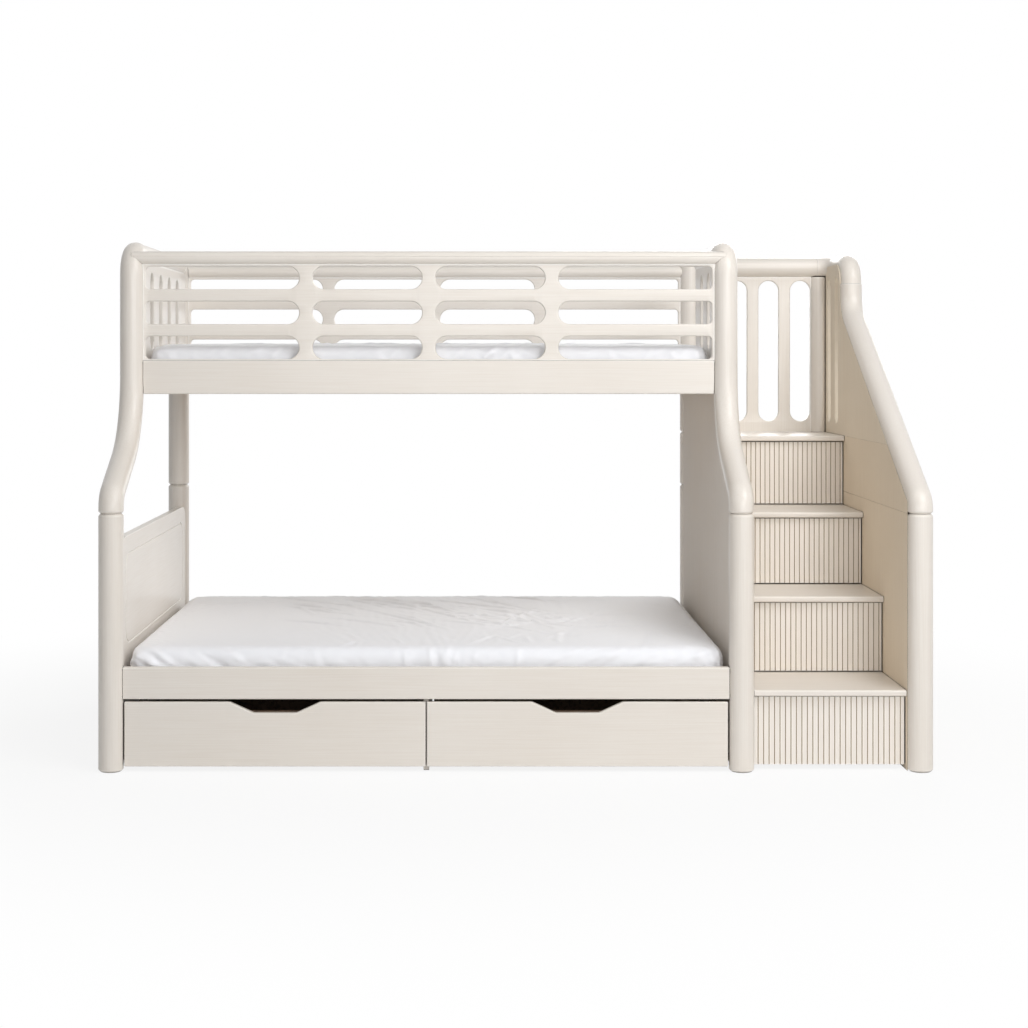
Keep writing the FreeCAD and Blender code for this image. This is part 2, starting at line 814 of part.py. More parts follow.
# The side panels close up against the handrail, which passes the landing's level at one place.
handrail_slope = float(handrail_top - handrail_knee) / float(handrail_y - front_y)
landing_meet_y = front_y + (landing_top - handrail_knee) / handrail_slope


def handrail_cope():
    return tube(handrail_route, cope_dia, UPRIGHT, stair_x, ZERO, ZERO)


lower_side = end_plate([oblong(front_y, stair_back, ZERO, leg_height)], board_thick, side_inner)
keep("stair_side_panel", trim(lower_side, [post_cope(stair_x, front_y, ZERO, leg_height)]))
upper_side_edge = [
    (front_y, leg_height, ZERO),
    (stair_back, leg_height, ZERO),
    (stair_back, landing_top, ZERO),
    (landing_meet_y, landing_top, ZERO),
    (front_y, handrail_knee, ZERO),
]
upper_side = end_plate([upper_side_edge], board_thick, side_inner)
keep("stair_side_upper_panel", trim(upper_side, [handrail_cope()]))

side_guard_edge = [
    (landing_meet_y, landing_top, ZERO),
    (stair_back, landing_top, ZERO),
    (stair_back, rail_height, ZERO),
    (handrail_y, rail_height, elbow_radius),
    (handrail_y, handrail_top, size("handrail_radius")),
]
landing_slot_low = landing_top + size("landing_slot_foot")
landing_slot_high = rail_height - rail_dia / 2 - size("landing_slot_head")
landing_slot_z = (landing_slot_low + landing_slot_high) / 2
landing_slot_height = landing_slot_high - landing_slot_low
corner_post_x = stair_x - size("corner_post_inset")
corner_post_dia = size("corner_post_dia")
side_slots = []
for n in range(SIDE_SLOTS):
    slot_y = back_y - corner_post_dia / 2 - size("side_slot_margin") - size("side_slot_pitch") * n
    side_slots.append(stadium(slot_y, landing_slot_z, size("side_slot_width"), landing_slot_height))
side_guard = end_plate([side_guard_edge] + side_slots, board_thick, side_inner)
side_rail_cope = tube(side_rail_route, rail_cope_dia, UPRIGHT, stair_x, ZERO, ZERO)


def corner_post_cope():
    return rod(corner_post_dia + seat_gap * 2, rail_height - landing_top, corner_post_x, back_y, landing_top)


keep("landing_side_guard", trim(eased_openings(side_guard), [
    handrail_cope(), side_rail_cope, corner_tube(rail_cope_dia), corner_post_cope()]))
rail_under = rail_height - rail_dia / 2 - seat_gap
keep("landing_corner_post", rod(corner_post_dia, rail_under - landing_top, corner_post_x, back_y,
                                landing_top))

slots_stop = corner_post_x - corner_post_dia / 2 - size("landing_slot_margin")
back_slots = []
for n in range(LANDING_SLOTS):
    slot_x = slots_stop - size("landing_slot_width") / 2 - size("landing_slot_pitch") * n
    back_slots.append(stadium(slot_x, landing_slot_z, size("landing_slot_width"), landing_slot_height))
back_edge = oblong(right_x, corner_post_x, landing_top, rail_height)
back_board = front_plate([back_edge] + back_slots, guard_thick, back_y + guard_thick / 2)
keep("landing_back_guard", trim(eased_openings(back_board), [
    post_cope(right_x, back_y, landing_top, post_top), corner_post_cope(),
    rod(rail_cope_dia, stair_x - right_x, right_x, back_y, rail_height, ALONG_X)]))

tread_x = (right_plate_face, side_inner)
tread_overhang = size("tread_overhang")


def tread_board(front, back, top):
    """A board whose two long front edges are rounded to a nose."""
    def at_nose(edge):
        return runs_along(0)(edge) and abs(edge.Vertexes[0].Y - float(front)) < SAME_PLACE

    blank = block(tread_x, (front, back), (top - tread_thick, top))
    return round_edges(blank, size("tread_nose"), at_nose)


for n in range(STAIR_DRAWERS - 1):
    front = front_y + tread_going * n
    step = tread_board(front, front + tread_going + size("tread_lap"), tread_rise * (n + 1))
    if n == 0:
        step = trim(step, [post_cope(right_x, front_y, ZERO, leg_height),
                           post_cope(stair_x, front_y, ZERO, leg_height)])
    keep(f"tread_{n + 1}", step)
landing_front = front_y + tread_going * (STAIR_DRAWERS - 1)
landing_board = tread_board(landing_front, stair_back, landing_top)
keep("landing", trim(landing_board, [post_cope(right_x, back_y, leg_height, post_top)]))

keep("stair_back_panel", block((right_x + half_post + seat_gap, side_inner),
                               (stair_back - size("back_panel_thick"), stair_back),
                               (panel_lift, landing_top - tread_thick)))

# Drawers: a front board and a box of two sides, two ends and a bottom board.
drawer_gap = size("drawer_gap")
drawer_lift = size("drawer_lift")
front_thick = size("drawer_front_thick")
wall = size("drawer_wall")
base_thick = size("drawer_base")
base_rise = size("drawer_base_rise")
runner_height = size("runner_height")
runner_play = size("runner_play")
runners = []


def drawer_box(name, x, y, z):
    """A box open at the top; its bottom board sits between the four walls."""
    low_x, high_x = x
    low_y, high_y = y
    inner_x = (low_x + wall, high_x - wall)
    inner_y = (low_y + wall, high_y - wall)
    base_low = z[0] + base_rise
    keep(name, group([
        block((low_x, low_x + wall), y, z),
        block((high_x - wall, high_x), y, z),
        block(inner_x, (low_y, low_y + wall), z),
        block(inner_x, (high_y - wall, high_y), z),
        block(inner_x, inner_y, (base_low, base_low + base_thick)),
    ]))


def runner_pair(outer_x, box_x, y, bottom):
    """Strips on the panels either side, just under the edges of the drawer's walls."""
    limits = (bottom - runner_play - runner_height, bottom - runner_play)
    runners.append(block((outer_x[0], box_x[0] + wall), y, limits))
    runners.append(block((box_x[1] - wall, outer_x[1]), y, limits))


# Wide drawers under the lower bed, with a finger cut-out in the top edge of each front.
partition = size("partition_thick")
bed_front_y = (front_y - board_thick / 2, front_y - board_thick / 2 + front_thick)
bed_box_y = (bed_front_y[1], beam_y[0] - size("bed_drawer_back_gap"))
bed_front_z = (drawer_lift, lower_rail_bottom - size("bed_drawer_top_gap"))
bed_box_low = drawer_lift + size("bed_drawer_box_rise")
bed_box_z = (bed_box_low, bed_front_z[1] - size("bed_drawer_box_drop"))
pull_depth = size("pull_depth")
pull_round = size("pull_round")


def bed_drawer_front(name, x):
    middle = (x[0] + x[1]) / 2
    low, high = bed_front_z
    edge = [
        (x[0], low, ZERO), (x[1], low, ZERO), (x[1], high, ZERO),
        (middle + size("pull_width") / 2, high, pull_round),
        (middle + size("pull_flat") / 2, high - pull_depth, pull_round),
        (middle - size("pull_flat") / 2, high - pull_depth, pull_round),
        (middle - size("pull_width") / 2, high, pull_round),
        (x[0], high, ZERO),
    ]
    keep(name, front_plate([edge], front_thick, bed_front_y[1]))


def bed_drawer(side, front_x, outer_x, box_x):
    bed_drawer_front(f"{side}_drawer_front", front_x)
    drawer_box(f"{side}_drawer_box", box_x, bed_box_y, bed_box_z)
    runner_pair(outer_x, box_x, (front_y + post_clear, bed_box_y[1]), bed_box_low)


partition_x = (middle_x - partition / 2, middle_x + partition / 2)
partition_y = (bed_front_y[1] + drawer_gap, bed_box_y[1])
keep("drawer_partition", block(partition_x, partition_y, (ZERO, lower_rail_bottom)))
post_clear = half_post + drawer_gap
reach = size("runner_reach")
bed_drawer("left", (left_x + post_clear, middle_x - drawer_gap / 2), (bed_inner_left, partition_x[0]),
           (left_x + post_clear + wall, partition_x[0] - reach + wall))
bed_drawer("right", (middle_x + drawer_gap / 2, right_x - post_clear), (partition_x[1], bed_inner_right),
           (partition_x[1] + reach - wall, right_x - post_clear - wall))

# Stair drawers, one under each tread, with fronts reeded by upright grooves.
stair_box_x = (right_x + post_clear + wall, side_inner - reach + wall)
stair_wide_x = (right_plate_face + drawer_gap, side_inner - drawer_gap)
stair_first_x = (right_x + post_clear, side_inner - drawer_gap)
stair_drawer_depth = (stair_back - landing_front - tread_overhang - front_thick
                      - size("back_panel_thick") - size("stair_drawer_back_gap"))
reed_pitch = size("reed_pitch")
reed_half = size("reed_width") / 2
reed_depth = size("reed_depth")


def reeded_front(name, x, front, z):
    """A front board whose face is cut by upright V grooves."""
    low_x, high_x = float(x[0]), float(x[1])
    pitch = float(reed_pitch)
    count = int((high_x - low_x) // pitch)
    first = (low_x + high_x) / 2 - pitch * (count - 1) / 2
    edge = [(low_x, 0, 0)]
    for n in range(count):
        groove_x = first + pitch * n
        edge.append((groove_x - float(reed_half), 0, 0))
        edge.append((groove_x, float(reed_depth), 0))
        edge.append((groove_x + float(reed_half), 0, 0))
    edge.append((high_x, 0, 0))
    edge.append((high_x, float(front_thick), 0))
    edge.append((low_x, float(front_thick), 0))
    keep(name, plate([edge], z[1] - z[0], UPRIGHT, ZERO, front, z[0]))


for n in range(STAIR_DRAWERS):
    front = front_y + tread_going * n + tread_overhang
    floor = drawer_lift if n == 0 else tread_rise * n + drawer_gap
    top = tread_rise * (n + 1) - tread_thick - drawer_gap
    front_x = stair_first_x if n == 0 else stair_wide_x
    reeded_front(f"stair_drawer_{n + 1}_front", front_x, front, (floor, top))
    box_low = floor + size("stair_drawer_box_rise")
    box_z = (box_low, top - size("stair_drawer_box_drop"))
    box_y = (front + front_thick, front + front_thick + stair_drawer_depth)
    drawer_box(f"stair_drawer_{n + 1}_box", stair_box_x, box_y, box_z)
    strip_y = (box_y[0] + size("tread_lap"), box_y[1] - size("tread_lap"))
    runner_pair((right_plate_face, side_inner), stair_box_x, strip_y, box_low)
keep("drawer_runners", group(runners))

# Build, test every item, then write one file for each piece.
doc.recompute()
for item in doc.Objects:
    if "Invalid" in item.State or "Error" in item.State:
        raise RuntimeError(f"{item.Label} failed: {item.State}")
os.makedirs("parts", exist_ok=True)
box = FreeCAD.BoundBox()
for name, item in pieces.items():
    shape = item.Shape
    if shape.isNull() or not shape.isValid() or not shape.Solids:
        raise RuntimeError(f"{name} has no sound solid")
    box.add(shape.BoundBox)
for name, item in pieces.items():
    item.Shape.exportStep(f"parts/{name}.step")
print(len(pieces), "pieces, box", [round(v, 2) for v in
      (box.XMin, box.XMax, box.YMin, box.YMax, box.ZMin, box.ZMax)])
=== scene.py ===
# %% [markdown]
# # Dressing a bunk bed with a storage stair
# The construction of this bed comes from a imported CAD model: every post, board and drawer is
# already there, at its real size. This lesson gives those pieces their finish, makes the
# mattresses and their fitted sheets from simulated cloth, and lights the whole as a studio would.

# %% Load the frame
import math
import random

import bmesh
import bpy
import numpy as np
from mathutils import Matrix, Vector, noise


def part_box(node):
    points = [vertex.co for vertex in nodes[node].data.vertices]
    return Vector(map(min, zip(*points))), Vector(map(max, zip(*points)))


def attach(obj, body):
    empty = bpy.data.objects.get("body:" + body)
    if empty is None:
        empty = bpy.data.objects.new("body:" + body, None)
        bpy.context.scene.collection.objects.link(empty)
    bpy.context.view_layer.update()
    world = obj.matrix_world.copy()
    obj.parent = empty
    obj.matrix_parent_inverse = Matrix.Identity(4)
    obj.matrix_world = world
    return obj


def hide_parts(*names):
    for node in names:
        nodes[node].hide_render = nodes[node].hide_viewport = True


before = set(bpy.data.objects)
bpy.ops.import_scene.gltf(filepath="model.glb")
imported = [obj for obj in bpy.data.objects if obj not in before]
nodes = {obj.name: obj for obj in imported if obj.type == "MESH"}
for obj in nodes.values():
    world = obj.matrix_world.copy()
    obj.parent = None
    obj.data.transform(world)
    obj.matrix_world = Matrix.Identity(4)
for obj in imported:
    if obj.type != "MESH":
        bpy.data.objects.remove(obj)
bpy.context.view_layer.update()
MM = 0.001

# %% [markdown]
# ## The camera
# The photograph was taken from the front with a level camera: uprights stay upright, and the
# top of the bed is not tilted back. A level camera that still shows the bed low in the frame
# needs lens shift, as on a view camera, so shift is used here and the camera is not tilted.

# %% Camera
LENS_MM = 65.9
SENSOR_MM = 36.0
LENS_SHIFT = (0.0428, -0.1498)
CAMERA_PLACE = (-0.1455, -6.699, 1.310)
FAR_ENOUGH = 60.0
camera_data = bpy.data.cameras.new("camera")
camera_data.lens = LENS_MM
camera_data.sensor_width = SENSOR_MM
camera_data.shift_x, camera_data.shift_y = LENS_SHIFT
camera_data.clip_end = FAR_ENOUGH
camera = bpy.data.objects.new("camera", camera_data)
camera.location = CAMERA_PLACE
camera.rotation_euler = (math.radians(90), 0, 0)
bpy.context.collection.objects.link(camera)
bpy.context.scene.camera = camera
print("camera", tuple(round(v, 3) for v in camera.location), "lens", round(camera_data.lens, 1))

# %% [markdown]
# ## Two small tools for materials
# Colours are written as the hex values that a paint chart would give. Shaders work in linear
# light, so one function turns the first into the second. Another adds a node, sets it and links
# it, so that each material below reads as a list of what its surface does.


# %% Colour and node helpers
def linear(hex_colour):
    """An sRGB hex colour as linear RGBA."""
    channels = [int(hex_colour[n:n + 2], 16) / 255 for n in (1, 3, 5)]
    return [c / 12.92 if c <= 0.04045 else ((c + 0.055) / 1.055) ** 2.4 for c in channels] + [1.0]


def add(tree, kind, settings=None, links=None):
    """Add a node to a tree, give it its settings and input values, and link its inputs."""
    node = tree.nodes.new(kind)
    for key, value in (settings or {}).items():
        if isinstance(key, str) and hasattr(node, key):
            setattr(node, key, value)
        else:
            node.inputs[key].default_value = value
    for key, socket in (links or {}).items():
        tree.links.new(socket, node.inputs[key])
    return node


def new_material(name):
    """An empty material, with its tree."""
    material = bpy.data.materials.new(name)
    material.use_nodes = True
    material.node_tree.nodes.clear()
    return material, material.node_tree


print("cream", [round(c, 3) for c in linear("#E8E1D7")])

# %% [markdown]
# ## Cream lacquer over solid wood
# The frame is solid wood under a sprayed, satin, cream lacquer. The pores and the brushed grain
# still show through as faint long streaks along each board, and they catch the light as a slight
# roughness. A wood texture of rings would be too strong, so the streaks are one stretched noise:
# 4 mm wide and 240 mm long, which is coarser than real pores, because those are too fine to show.
# The grain follows each board, so there is one material for each direction. Where a point sees
# little open space, in the narrow gaps between boards, the lacquer is painted darker as painted shade.
# On the edges a thin pale line is a painted highlight: a point knows that it is near an
# edge because a short ray into the wood soon comes out again. Round rails have no edges, so they
# go without that line. The wide panels of the stair and the landing's guard are sprayed thinner:
# they are matt and have no gloss coat, and those on the outer side are painted a warmer cream as
# painted shade, for the warm light bounced round the stair. The board between the bed drawers
# takes more painted shade, so that the gap between the two fronts stays dark.

# %% Lacquered wood
LACQUER_LIGHT = "#ECE6DE"
LACQUER_DEEP = "#E5DDD3"
PAINTED_EDGE_HIGHLIGHT = "#FAF7F2"
EDGE_REACH = 5 * MM
PAINTED_CREVICE_SHADE = "#4E4338"
CREVICE_REACH = 9 * MM
GRAIN_WIDTH = 4 * MM
GRAIN_LENGTH = 240 * MM
CLOUD_SIZE = 400 * MM
PORE_DEPTH = 0.4 * MM
MATT = (0.7, 0.8)


def lacquered_wood(name, along, tones=(LACQUER_LIGHT, LACQUER_DEEP), groove_shade=None, narrow=0.56,
                   painted_highlight=0.8, coat=0.35, rough_range=(0.34, 0.46)):
    """Satin cream lacquer whose grain runs along axis 0, 1 or 2.

    Places less open than narrow get painted shade, edges get a share of a painted highlight,
    and the walls of grooves may get painted shade.
    """
    material, tree = new_material(name)
    place = add(tree, "ShaderNodeTexCoord").outputs["Object"]
    stretch = [1 / GRAIN_WIDTH] * 3
    stretch[along] = 1 / GRAIN_LENGTH
    grain_place = add(tree, "ShaderNodeMapping", {"Scale": stretch}, {"Vector": place})
    grain = add(tree, "ShaderNodeTexNoise", {"Scale": 1.0, "Detail": 5.0, "Roughness": 0.62},
                {"Vector": grain_place.outputs[0]})
    cloud = add(tree, "ShaderNodeTexNoise", {"Scale": 1 / CLOUD_SIZE, "Detail": 2.0}, {"Vector": place})
    streak = add(tree, "ShaderNodeMapRange", {"From Min": 0.35, "From Max": 0.68},
                 {"Value": grain.outputs["Fac"]})
    shade = add(tree, "ShaderNodeMath", {"operation": "MULTIPLY_ADD", 1: 0.62},
                {0: streak.outputs[0], 2: cloud.outputs["Fac"]})
    faded = add(tree, "ShaderNodeMapRange", {"From Min": 0.25, "From Max": 1.25},
                {"Value": shade.outputs[0]})
    colour = add(tree, "ShaderNodeMix", {"data_type": "RGBA", 6: linear(tones[0]), 7: linear(tones[1])},
                 {0: faded.outputs[0]}).outputs[2]
    # Painted highlight: a pale line on edges, found by short rays into the wood that soon come out.
    within = add(tree, "ShaderNodeAmbientOcclusion", {"samples": 5, "inside": True, "Distance": EDGE_REACH})
    edge = add(tree, "ShaderNodeMapRange",
               {"From Min": 0.6, "From Max": 0.95, "To Min": painted_highlight, "To Max": 0.0},
               {"Value": within.outputs["AO"]})
    colour = add(tree, "ShaderNodeMix", {"data_type": "RGBA", 7: linear(PAINTED_EDGE_HIGHLIGHT)},
                 {0: edge.outputs[0], 6: colour}).outputs[2]
    if groove_shade:
        colour = shade_groove_walls(tree, colour, groove_shade)
    # Painted shade: a dark colour is mixed in where a point sees little open space.
    space = add(tree, "ShaderNodeAmbientOcclusion", {"samples": 6, "Distance": CREVICE_REACH})
    crevice = add(tree, "ShaderNodeMapRange",
                  {"From Min": 0.12, "From Max": narrow, "To Min": 1.0, "To Max": 0.0},
                  {"Value": space.outputs["AO"]})
    colour = add(tree, "ShaderNodeMix", {"data_type": "RGBA", 7: linear(PAINTED_CREVICE_SHADE)},
                 {0: crevice.outputs[0], 6: colour}).outputs[2]
    rough = add(tree, "ShaderNodeMapRange", {"To Min": rough_range[0], "To Max": rough_range[1]},
                {"Value": grain.outputs["Fac"]})
    bump = add(tree, "ShaderNodeBump", {"Strength": 0.2, "Distance": PORE_DEPTH},
               {"Height": grain.outputs["Fac"]})
    surface = add(tree, "ShaderNodeBsdfPrincipled",
                  {"IOR": 1.5, "Coat Weight": coat, "Coat Roughness": 0.22},
                  {"Base Color": colour, "Roughness": rough.outputs[0], "Normal": bump.outputs[0]})
    add(tree, "ShaderNodeOutputMaterial", None, {"Surface": surface.outputs[0]})
    return material


def shade_groove_walls(tree, colour, groove_shade):
    """Paint shade on the slanted walls of upright grooves, where shadow gathers."""
    normal = add(tree, "ShaderNodeNewGeometry").outputs["True Normal"]
    split = add(tree, "ShaderNodeSeparateXYZ", None, {0: normal})
    sideways = add(tree, "ShaderNodeMath", {"operation": "ABSOLUTE"}, {0: split.outputs[0]})
    wall = add(tree, "ShaderNodeMath", {"operation": "COMPARE", 1: 0.7, 2: 0.25}, {0: sideways.outputs[0]})
    return add(tree, "ShaderNodeMix", {"data_type": "RGBA", 7: linear(groove_shade)},
               {0: wall.outputs[0], 6: colour}).outputs[2]


lacquer_x = lacquered_wood("cream_lacquered_wood_along", 0)
lacquer_y = lacquered_wood("cream_lacquered_wood_across", 1)
lacquer_z = lacquered_wood("cream_lacquered_wood_upright", 2)
lacquer_rail = lacquered_wood("cream_lacquered_wood_round_rail", 0, narrow=0.64, painted_highlight=0.0)
# The reeded fronts are painted paler to make up for the shade in their recess, and the walls of their
# grooves get painted shade.
lacquer_reeded = lacquered_wood("cream_lacquered_wood_reeded", 2, tones=("#F4EEE6", "#EEE6DC"),
                                groove_shade="#C3B49E", narrow=0.3)
# Painted warm shade: a warmer copy of the cream for the stair's side panels, for the warm light bounced
# round the stair.
lacquer_side_warm_shade = lacquered_wood("cream_lacquered_wood_stair_side", 2, tones=("#EDE0CC", "#E4D5BF"),
                              narrow=0.68, painted_highlight=0.0, coat=0.0, rough_range=MATT)
lacquer_panel = lacquered_wood("cream_lacquered_wood_stair_panel", 2, coat=0.0, rough_range=MATT)
# Painted warm shade: a warmer copy of the cream for the landing's side guard.
lacquer_landing_warm_shade = lacquered_wood("cream_lacquered_wood_landing_guard", 2, tones=("#EEE3D1", "#E6D9C5"),
                                 narrow=0.68, painted_highlight=0.0, coat=0.0, rough_range=MATT)
# The partition takes more painted shade, so that the gap between the drawer fronts stays dark.
lacquer_partition = lacquered_wood("cream_lacquered_wood_partition", 2, narrow=0.9, painted_highlight=0.0)
print("lacquer materials:", [m.name for m in bpy.data.materials if "lacquered" in m.name])

# %% [markdown]
# ## Bare pine
# Slats, ledgers, the centre beam and the dowels are planed pine without a finish. The eye reads
# pine by its darker latewood lines, a few millimetres apart and very long. A stretched and bent
# noise draws those lines, 14 mm apart so that they still show, and the wood is matt, so its
# roughness is high and it has no coat. The drawer boxes and their runners are a dark pine colour
# that is painted shade: it makes the finger cut-outs of the drawer fronts show black.

# %% Bare pine
PINE_LIGHT = "#DCC196"
PINE_LATEWOOD = "#BE9563"
RING_SPACING = 14 * MM
PINE_LENGTH = 500 * MM


def bare_pine(name, along, tones=(PINE_LIGHT, PINE_LATEWOOD)):
    """Planed pine whose grain runs along axis 0 or 1."""
    material, tree = new_material(name)
    place = add(tree, "ShaderNodeTexCoord").outputs["Object"]
    stretch = [1 / RING_SPACING] * 3
    stretch[along] = 1 / PINE_LENGTH
    turned = add(tree, "ShaderNodeMapping", {"Scale": stretch}, {"Vector": place})
    rings = add(tree, "ShaderNodeTexNoise", {"Scale": 1.0, "Detail": 3.0, "Distortion": 0.6},
                {"Vector": turned.outputs[0]})
    lines = add(tree, "ShaderNodeMapRange", {"From Min": 0.45, "From Max": 0.62},
                {"Value": rings.outputs["Fac"]})
    colour = add(tree, "ShaderNodeMix", {"data_type": "RGBA", 6: linear(tones[0]), 7: linear(tones[1])},
                 {0: lines.outputs[0]})
    bump = add(tree, "ShaderNodeBump", {"Strength": 0.3, "Distance": PORE_DEPTH},
               {"Height": rings.outputs["Fac"]})
    surface = add(tree, "ShaderNodeBsdfPrincipled", {"Roughness": 0.62},
                  {"Base Color": colour.outputs[2], "Normal": bump.outputs[0]})
    add(tree, "ShaderNodeOutputMaterial", None, {"Surface": surface.outputs[0]})
    return material


pine_x = bare_pine("bare_pine_along", 0)
pine_y = bare_pine("bare_pine_across", 1)
# Painted shade: a dark copy of the pine for the drawer boxes and runners.
shade_dark_pine = bare_pine("dark_pine_painted_shade", 1, tones=("#5E4A38", "#473626"))
print("pine materials:", pine_x.name, pine_y.name, shade_dark_pine.name)

# %% [markdown]
# ## Finish the frame
# The CAD pieces arrive as loose triangles with hard edges. Real lacquered boards have eased
# edges that catch a thin line of light. Modifiers give that without touching the mesh: weld the
# triangles, dissolve what is flat, bevel the edges that are left, then shade smooth across
# everything that bends gently. The pierced guards already have a bevel round every opening, so
# they are only shaded across it, which reads as the soft round-over of the real bars. The drawer
# boxes keep the square edges of sawn boards.

# %% Smooth by angle
def smooth_by_angle(name, limit):
    """A geometry tree that smooths faces and keeps edges sharper than the limit hard."""
    tree = bpy.data.node_groups.new(name, "GeometryNodeTree")
    for way in ("INPUT", "OUTPUT"):
        tree.interface.new_socket("Geometry", in_out=way, socket_type="NodeSocketGeometry")
    start = add(tree, "NodeGroupInput")
    smooth = add(tree, "GeometryNodeSetShadeSmooth", {"domain": "FACE"}, {"Geometry": start.outputs[0]})
    angle = add(tree, "GeometryNodeInputMeshEdgeAngle")
    sharp = add(tree, "FunctionNodeCompare", {"operation": "GREATER_THAN", "B": limit},
                {"A": angle.outputs["Unsigned Angle"]})
    hard = add(tree, "GeometryNodeSetShadeSmooth", {"domain": "EDGE", "Shade Smooth": False},
               {"Geometry": smooth.outputs[0], "Selection": sharp.outputs[0]})
    add(tree, "NodeGroupOutput", None, {"Geometry": hard.outputs[0]})
    return tree


EASED_ANGLE = math.radians(38)
ROUND_OVER_ANGLE = math.radians(52)
eased_shading = smooth_by_angle("eased_edges", EASED_ANGLE)
round_over_shading = smooth_by_angle("round_over_rims", ROUND_OVER_ANGLE)
print("smoothing trees:", eased_shading.name, round_over_shading.name)

# %% Ease the edges and give each piece its grain
BOARD_EASE = 1.5 * MM
FRONT_EASE = 3.5 * MM
REED_EASE = 0.3 * MM
WELD_REACH = 0.01 * MM
FLAT_ANGLE = math.radians(0.6)
WIDE_EASED = ("left_drawer_front", "right_drawer_front", "lower_front_rail", "upper_front_rail",
              "lower_back_rail", "upper_back_rail", "tread_1", "tread_2", "tread_3", "landing")
GRAIN_ACROSS = ("left_end_rail", "right_end_rail", "upper_left_rail", "upper_right_rail", "headboard")
GRAIN_ALONG = ("lower_front_rail", "lower_back_rail", "upper_front_rail", "upper_back_rail",
               "front_guard", "back_guard", "left_drawer_front", "right_drawer_front", "tread_1", "tread_2",
               "tread_3", "landing")
ROUND_RAILS = ("front_top_rail", "back_top_rail", "landing_back_rail")
PINE_ALONG = ("slat_ledgers", "centre_beam", "post_dowels")
PINE_ACROSS = ("lower_slats", "upper_slats")


def finish_of(name):
    """The material that a piece of the frame takes."""
    if name.startswith("stair_drawer") and name.endswith("front"):
        return lacquer_reeded
    if name.endswith("_box") or name == "drawer_runners":
        return shade_dark_pine
    if name == "drawer_partition":
        return lacquer_partition
    if name in PINE_ACROSS:
        return pine_y
    if name.startswith("stair_side"):
        return lacquer_side_warm_shade
    if name == "landing_side_guard":
        return lacquer_landing_warm_shade
    if name in ROUND_RAILS:
        return lacquer_rail
    if name == "stair_left_panel":
        return lacquer_panel
    if name in PINE_ALONG:
        return pine_x
    if name in GRAIN_ALONG:
        return lacquer_x
    return lacquer_y if name in GRAIN_ACROSS else lacquer_z


def weld(piece):
    """Join the loose triangles of a piece."""
    join = piece.modifiers.new("weld", "WELD")
    join.merge_threshold = WELD_REACH


def edge_width(name):
    """How wide the eased edge of a piece is."""
    if finish_of(name) is lacquer_reeded:
        return REED_EASE
    return FRONT_EASE if name in WIDE_EASED else BOARD_EASE


def ease(piece, width):
    """Dissolve what is flat, then bevel the edges that are left."""
    flatten = piece.modifiers.new("flatten", "DECIMATE")
    flatten.decimate_type = "DISSOLVE"
    flatten.angle_limit = FLAT_ANGLE
    bevel = piece.modifiers.new("ease", "BEVEL")
    bevel.width = width
    bevel.segments = 3
    bevel.profile = 0.5
    bevel.limit_method = "ANGLE"
    bevel.angle_limit = EASED_ANGLE
    bevel.use_clamp_overlap = False


def shade(piece, tree):
    """Smooth a piece by a tree, and let its large flat faces keep their normals."""
    smooth = piece.modifiers.new("shade", "NODES")
    smooth.node_group = tree
    weigh = piece.modifiers.new("weigh", "WEIGHTED_NORMAL")
    weigh.keep_sharp = True


for name, piece in nodes.items():
    material = finish_of(name)
    if not piece.material_slots:
        piece.data.materials.append(material)
    for slot in piece.material_slots:
        slot.material = material
    weld(piece)
    if name.endswith("_guard"):
        shade(piece, round_over_shading)
        continue
    if name.endswith("_box"):
        shade(piece, eased_shading)
        continue
    ease(piece, edge_width(name))
    shade(piece, eased_shading)
print("finished", len(nodes), "pieces of the frame")

# %% [markdown]
# ## Mattresses
# Each bed holds a foam mattress in a woven cover. It is a crowned block: full edges, sides that
# draw in a little between top and bottom, flat below where the slats carry it. A block with
# rounded corners is remeshed to even cells, and a cloth with pressure inside fills it out.

# %% Soft blocks
PAD_CELL = 16 * MM
PAD_LIFT = 2 * MM
PAD_MARGIN = 5 * MM
PAD_END_PROUD = 4 * MM
PAD_CORNER = 50 * MM
PAD_EDGE = 26 * MM
PAD_SWELL = 9 * MM
FILL_PRESSURE = 4.0
FILL_FRAMES = 20


def object_from(bm, name):
    """Turn a bmesh into an object at the origin."""
    mesh = bpy.data.meshes.new(name)
    bm.to_mesh(mesh)
    bm.free()
    piece = bpy.data.objects.new(name, mesh)
    bpy.context.collection.objects.link(piece)
    return piece


def settle(piece):
    """Replace a piece's mesh by what its modifiers make of it."""
    graph = bpy.context.evaluated_depsgraph_get()
    made = bpy.data.meshes.new_from_object(piece.evaluated_get(graph))
    piece.modifiers.clear()
    piece.data = made


